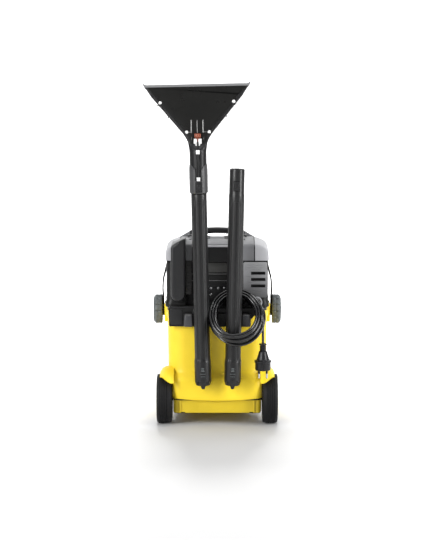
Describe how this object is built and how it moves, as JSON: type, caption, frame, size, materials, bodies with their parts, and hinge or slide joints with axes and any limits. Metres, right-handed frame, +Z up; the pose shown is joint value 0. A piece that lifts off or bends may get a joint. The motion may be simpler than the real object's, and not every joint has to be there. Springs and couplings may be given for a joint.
{
  "type": "spot extractor",
  "caption": "Wheeled spray-extraction cleaner: yellow tub, lift-off motor head with bail, parked suction tubes, wide floor nozzle, coiled mains cord.",
  "frame": {"origin": "on the floor, in the machine's mid-plane, halfway along the tub between rear wheels and front castors", "axes": "+Z up; -Y faces the rear of the machine, where the tubes and the cord hang; +X is to the right when looking at the rear"},
  "size_m": [0.3397, 0.4706, 0.8412],
  "materials": {
    "yellow_shell": "moulded yellow polypropylene, fine satin grain",
    "dark_shell": "charcoal moulded plastic, fine grain",
    "grey_shell": "light grey moulded plastic, fine grain",
    "black_plastic": "black moulded plastic, satin",
    "tube_plastic": "black-grey tube plastic, satin",
    "knob_grey": "mid grey moulded plastic",
    "wheel_tread": "black rubber, matt",
    "wheel_hub": "dark grey plastic",
    "steel": "bright zinc-plated steel",
    "motor_metal": "cast aluminium",
    "cord_rubber": "black smooth cord sheath",
    "tinted_cover": "dark smoke-tinted plastic, glossy",
    "float_white": "white plastic",
    "jet_brass": "copper-orange spray jet",
    "switch_red": "grey-black gloss switch"
  },
  "bodies": {
    "tub": {"tank_tub": "yellow_shell", "chassis": "yellow_shell", "rear_axle": "steel", "suction_port": "black_plastic"},
    "wheel_left": {"tyre_left": "wheel_tread", "wheel_hub_left": "wheel_hub", "hub_cap_left": "wheel_hub"},
    "wheel_right": {"tyre_right": "wheel_tread", "wheel_hub_right": "wheel_hub", "hub_cap_right": "wheel_hub"},
    "castor_left": {"castor_fork_left": "dark_shell", "castor_pin_left": "steel"},
    "castor_right": {"castor_fork_right": "dark_shell", "castor_pin_right": "steel"},
    "castor_wheel_left": {"castor_wheel_left": "wheel_tread"},
    "castor_wheel_right": {"castor_wheel_right": "wheel_tread"},
    "head": {"head_base": "dark_shell", "tank_seal": "wheel_tread", "motor_housing": "dark_shell", "top_cover": "grey_shell", "duct_cover": "dark_shell", "vent_panel": "grey_shell", "suction_motor": "motor_metal", "spray_pump": "black_plastic", "float_cage": "black_plastic", "tube_holder": "black_plastic", "cable_hook": "black_plastic", "hook_screws": "steel", "cable_gland": "cord_rubber", "power_cord_coil": "cord_rubber", "power_cord_lead": "cord_rubber", "power_cord_drop": "cord_rubber", "plug_body": "cord_rubber", "plug_pins": "steel", "pivot_pins": "steel", "switch_bezel": "black_plastic", "spray_coupling": "steel"},
    "rotor": {"fan_impeller": "motor_metal", "motor_shaft": "steel"},
    "float": {"float_ball": "float_white"},
    "fresh_tank": {"fresh_tank": "tinted_cover"},
    "filler_cap": {"filler_cap": "black_plastic"},
    "bail": {"handle_bail": "black_plastic", "knob_left": "knob_grey", "knob_right": "knob_grey"},
    "suction_switch": {"suction_switch": "switch_red"},
    "spray_switch": {"spray_switch": "switch_red"},
    "tube_left": {"suction_tube_left": "tube_plastic", "spray_line_left": "tube_plastic"},
    "nozzle": {"nozzle_body": "tube_plastic", "nozzle_cover": "tinted_cover", "nozzle_lip": "knob_grey", "nozzle_screws": "steel", "spray_jet": "jet_brass", "jet_clips": "float_white", "nozzle_coupling": "knob_grey"},
    "nozzle_latch": {"nozzle_latch": "black_plastic"},
    "tube_right": {"suction_tube_right": "tube_plastic", "spray_line_right": "tube_plastic"},
    "tube_latch": {"tube_latch": "knob_grey"}
  },
  "joints": [
    {"name": "wheel_left_spin", "type": "hinge", "parent": "tub", "child": "wheel_left", "pos_m": [-0.13, -0.14, 0.061], "axis": [1, 0, 0], "continuous": true},
    {"name": "wheel_right_spin", "type": "hinge", "parent": "tub", "child": "wheel_right", "pos_m": [0.13, -0.14, 0.061], "axis": [1, 0, 0], "continuous": true},
    {"name": "castor_left_swivel", "type": "hinge", "parent": "tub", "child": "castor_left", "pos_m": [-0.052, 0.118, 0.05], "axis": [0, 0, 1], "continuous": true},
    {"name": "castor_right_swivel", "type": "hinge", "parent": "tub", "child": "castor_right", "pos_m": [0.052, 0.118, 0.05], "axis": [0, 0, 1], "continuous": true},
    {"name": "castor_left_spin", "type": "hinge", "parent": "castor_left", "child": "castor_wheel_left", "pos_m": [-0.052, 0.102, 0.022], "axis": [1, 0, 0], "continuous": true},
    {"name": "castor_right_spin", "type": "hinge", "parent": "castor_right", "child": "castor_wheel_right", "pos_m": [0.052, 0.102, 0.022], "axis": [1, 0, 0], "continuous": true},
    {"name": "head_lift", "type": "slide", "parent": "tub", "child": "head", "axis": [0, 0, 1], "range_m": [0, 0.2]},
    {"name": "rotor_spin", "type": "hinge", "parent": "head", "child": "rotor", "pos_m": [0, -0.06, 0.343], "axis": [0, 0, 1], "continuous": true},
    {"name": "float_rise", "type": "slide", "parent": "head", "child": "float", "axis": [0, 0, 1], "range_m": [0, 0.03]},
    {"name": "fresh_tank_lift", "type": "slide", "parent": "head", "child": "fresh_tank", "axis": [0, 0, 1], "range_m": [0, 0.15]},
    {"name": "filler_cap_turn", "type": "hinge", "parent": "fresh_tank", "child": "filler_cap", "pos_m": [0, 0.096, 0.398], "axis": [0, 0, 1], "range_deg": [0, 90]},
    {"name": "bail_fold", "type": "hinge", "parent": "head", "child": "bail", "pos_m": [0, 0.01, 0.261], "axis": [1, 0, 0], "range_deg": [-65, 0]},
    {"name": "suction_switch_rock", "type": "hinge", "parent": "head", "child": "suction_switch", "pos_m": [-0.036, -0.045, 0.445], "axis": [1, 0, 0], "range_deg": [-12, 0]},
    {"name": "spray_switch_rock", "type": "hinge", "parent": "head", "child": "spray_switch", "pos_m": [0.036, -0.045, 0.445], "axis": [1, 0, 0], "range_deg": [-12, 0]},
    {"name": "tube_left_lift", "type": "slide", "parent": "head", "child": "tube_left", "axis": [-0.0209, 0, 0.9998], "range_m": [0, 0.12]},
    {"name": "nozzle_pull", "type": "slide", "parent": "tube_left", "child": "nozzle", "axis": [-0.0209, 0, 0.9998], "range_m": [0, 0.12]},
    {"name": "nozzle_latch_press", "type": "slide", "parent": "nozzle", "child": "nozzle_latch", "axis": [0, 1, 0], "range_m": [0, 0.0014], "stiffness_N_per_m": 400},
    {"name": "tube_right_lift", "type": "slide", "parent": "head", "child": "tube_right", "axis": [0.0209, 0, 0.9998], "range_m": [0, 0.032]},
    {"name": "tube_latch_press", "type": "slide", "parent": "tube_right", "child": "tube_latch", "axis": [0, 1, 0], "range_m": [0, 0.002], "stiffness_N_per_m": 400}
  ]
}
